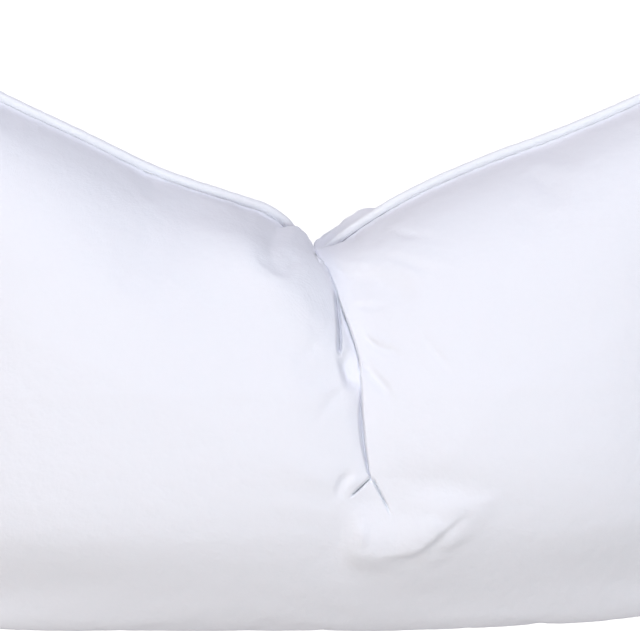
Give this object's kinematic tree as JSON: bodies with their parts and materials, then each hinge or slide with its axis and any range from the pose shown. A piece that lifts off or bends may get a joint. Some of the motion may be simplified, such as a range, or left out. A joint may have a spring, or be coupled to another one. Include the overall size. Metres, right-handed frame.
{
  "type": "pillow insert",
  "caption": "Oblong filled pillow insert with a piped edge, chopped at the middle of its top edge and lying on its back.",
  "frame": {"origin": "bottom centre of the bounding box, on the surface that the insert's back rests on", "axes": "+X along the long side of the insert, +Y from its lower edge to its chopped top edge, +Z out of its face"},
  "size_m": [0.4872, 0.305, 0.1127],
  "materials": {
    "cover": "fine plain-weave down-proof cotton, white, soft and matt",
    "piping": "bias-cut cotton over a round cord, white and matt, lightly puckered"
  },
  "bodies": {
    "root": {"filled_cover": "cover", "piping": "piping"}
  },
  "joints": []
}
